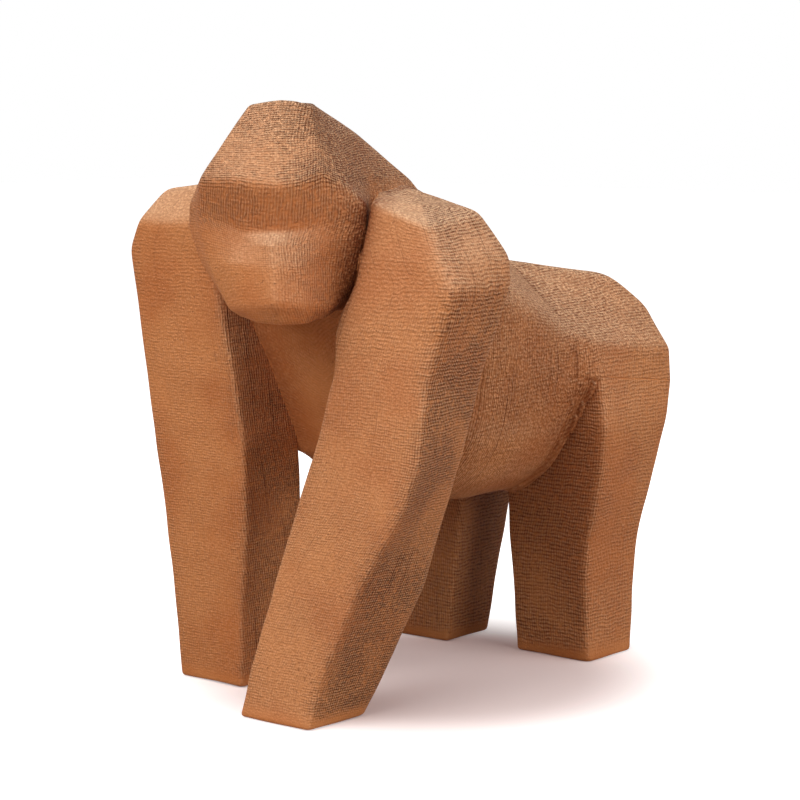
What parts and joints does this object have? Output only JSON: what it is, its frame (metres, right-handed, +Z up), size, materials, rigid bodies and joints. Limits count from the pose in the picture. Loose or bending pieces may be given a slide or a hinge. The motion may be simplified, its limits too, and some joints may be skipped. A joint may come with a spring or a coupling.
{
  "type": "gorilla figurine",
  "caption": "Faceted gorilla ornament standing on all fours with its head turned, matte terracotta-coloured castings with a gauze imprint, on felt pads.",
  "frame": {"origin": "on the floor, under the middle of the figure's bounding box", "axes": "+Z up, the gorilla's body faces -Y and its left side is +X"},
  "size_m": [0.154, 0.1982, 0.2175],
  "materials": {
    "casting": "matte",
    "dowel": "matte",
    "felt": "matte"
  },
  "bodies": {
    "root": {"head": "casting", "trunk": "casting", "left_arm": "casting", "right_arm": "casting", "left_leg": "casting", "right_leg": "casting", "belly_cover": "casting", "neck_dowel_1": "dowel", "neck_dowel_2": "dowel", "left_shoulder_dowel_1": "dowel", "left_shoulder_dowel_2": "dowel", "right_shoulder_dowel_1": "dowel", "right_shoulder_dowel_2": "dowel", "left_hip_dowel_1": "dowel", "left_hip_dowel_2": "dowel", "right_hip_dowel_1": "dowel", "right_hip_dowel_2": "dowel", "left_arm_pad": "felt", "right_arm_pad": "felt", "left_leg_pad": "felt", "right_leg_pad": "felt"}
  },
  "joints": []
}
